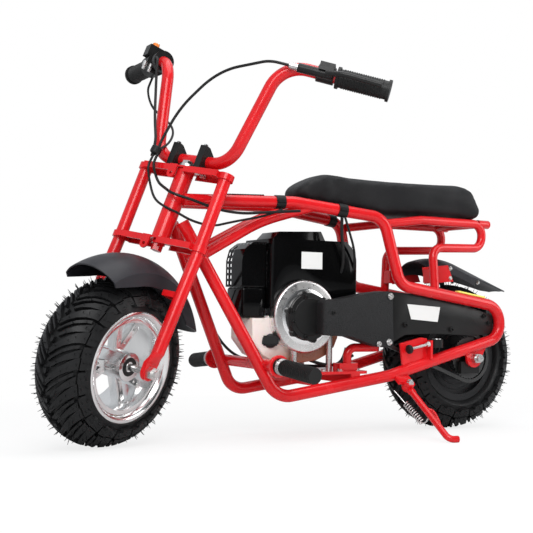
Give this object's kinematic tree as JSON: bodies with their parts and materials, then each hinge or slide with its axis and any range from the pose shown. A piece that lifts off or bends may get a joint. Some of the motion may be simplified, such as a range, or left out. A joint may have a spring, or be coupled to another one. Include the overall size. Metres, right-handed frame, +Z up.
{
  "type": "minibike",
  "caption": "Small motorised minibike with a tube-loop frame, plate fork, fat knobby tyres, long seat, chain drive and side stand.",
  "frame": {"origin": "on the ground under the middle of the machine as it stands parked", "axes": "+X towards the front wheel, +Y to the rider's left, +Z up from the ground"},
  "size_m": [1.004, 0.5528, 0.7491],
  "materials": {
    "frame_red": "gloss",
    "black_shroud": "gloss",
    "engine_alloy": "satin",
    "black_steel": "satin",
    "tank_plastic": "translucent",
    "guard_plastic": "matte",
    "bright_steel": "satin",
    "seat_vinyl": "satin",
    "black_rubber": "matte",
    "tyre_rubber": "matte",
    "polished_alloy": "polished",
    "lever_alloy": "satin"
  },
  "bodies": {
    "frame": {"head_tube": "frame_red", "top_tube_left": "frame_red", "top_tube_right": "frame_red", "rear_loop_left": "frame_red", "rear_loop_right": "frame_red", "down_tube_left": "frame_red", "down_tube_right": "frame_red", "braces": "frame_red", "seat_loop_left": "frame_red", "seat_loop_right": "frame_red", "seat_cross": "frame_red", "peg_tube": "frame_red", "engine_plate": "frame_red", "engine_block": "engine_alloy", "guard_stay": "frame_red", "chain_tensioner": "frame_red", "pull_starter": "black_shroud", "rear_brake": "black_steel", "engine_shroud": "black_shroud", "muffler_guard": "black_shroud", "air_box": "black_shroud", "clutch_housing": "engine_alloy", "clutch_bell": "black_steel", "fuel_tank": "tank_plastic", "engine_pillars": "bright_steel", "chain_guard_front": "guard_plastic", "chain_guard_rear": "guard_plastic", "chain": "bright_steel", "drive_sprocket": "bright_steel", "rear_axle": "bright_steel", "dropouts": "frame_red", "rear_fender": "guard_plastic", "seat": "seat_vinyl", "footpegs": "black_rubber", "stand_bracket": "frame_red", "fender_tabs": "frame_red", "frame_cable": "black_rubber"},
    "fork": {"fork_left": "frame_red", "fork_right": "frame_red", "upper_plate": "frame_red", "lower_plate": "frame_red", "front_axle": "bright_steel", "handlebar": "frame_red", "bar_risers": "black_steel", "grips": "black_rubber", "lever_perch": "black_steel", "throttle_housing": "black_steel", "brake_lever": "lever_alloy", "front_fender": "guard_plastic", "fender_brackets": "frame_red", "brake_cable": "black_rubber", "throttle_cable": "black_rubber"},
    "front_wheel": {"front_tyre": "tyre_rubber", "front_rim": "polished_alloy"},
    "rear_wheel": {"rear_tyre": "tyre_rubber", "rear_rim": "black_steel", "rear_sprocket": "bright_steel"},
    "stand": {"side_stand": "frame_red"}
  },
  "joints": [
    {"name": "steering", "type": "hinge", "parent": "frame", "child": "fork", "pos_m": [0.27933, 0.01416, 0.35228], "axis": [-0.3569, 0.031, 0.9336], "range_deg": [-54, 0]},
    {"name": "front_wheel_spin", "type": "hinge", "parent": "fork", "child": "front_wheel", "pos_m": [0.36581, 0.01042, 0.1434], "axis": [-0.4241, 0.8851, -0.1915], "continuous": true},
    {"name": "rear_wheel_spin", "type": "hinge", "parent": "frame", "child": "rear_wheel", "pos_m": [-0.35748, 0.00725, 0.14495], "axis": [-0.0001, 0.9995, -0.0332], "continuous": true},
    {"name": "side_stand_fold", "type": "hinge", "parent": "frame", "child": "stand", "pos_m": [-0.18157, 0.10757, 0.09231], "axis": [-0.0481, 0.5833, 0.8108], "range_deg": [0, 81]}
  ]
}
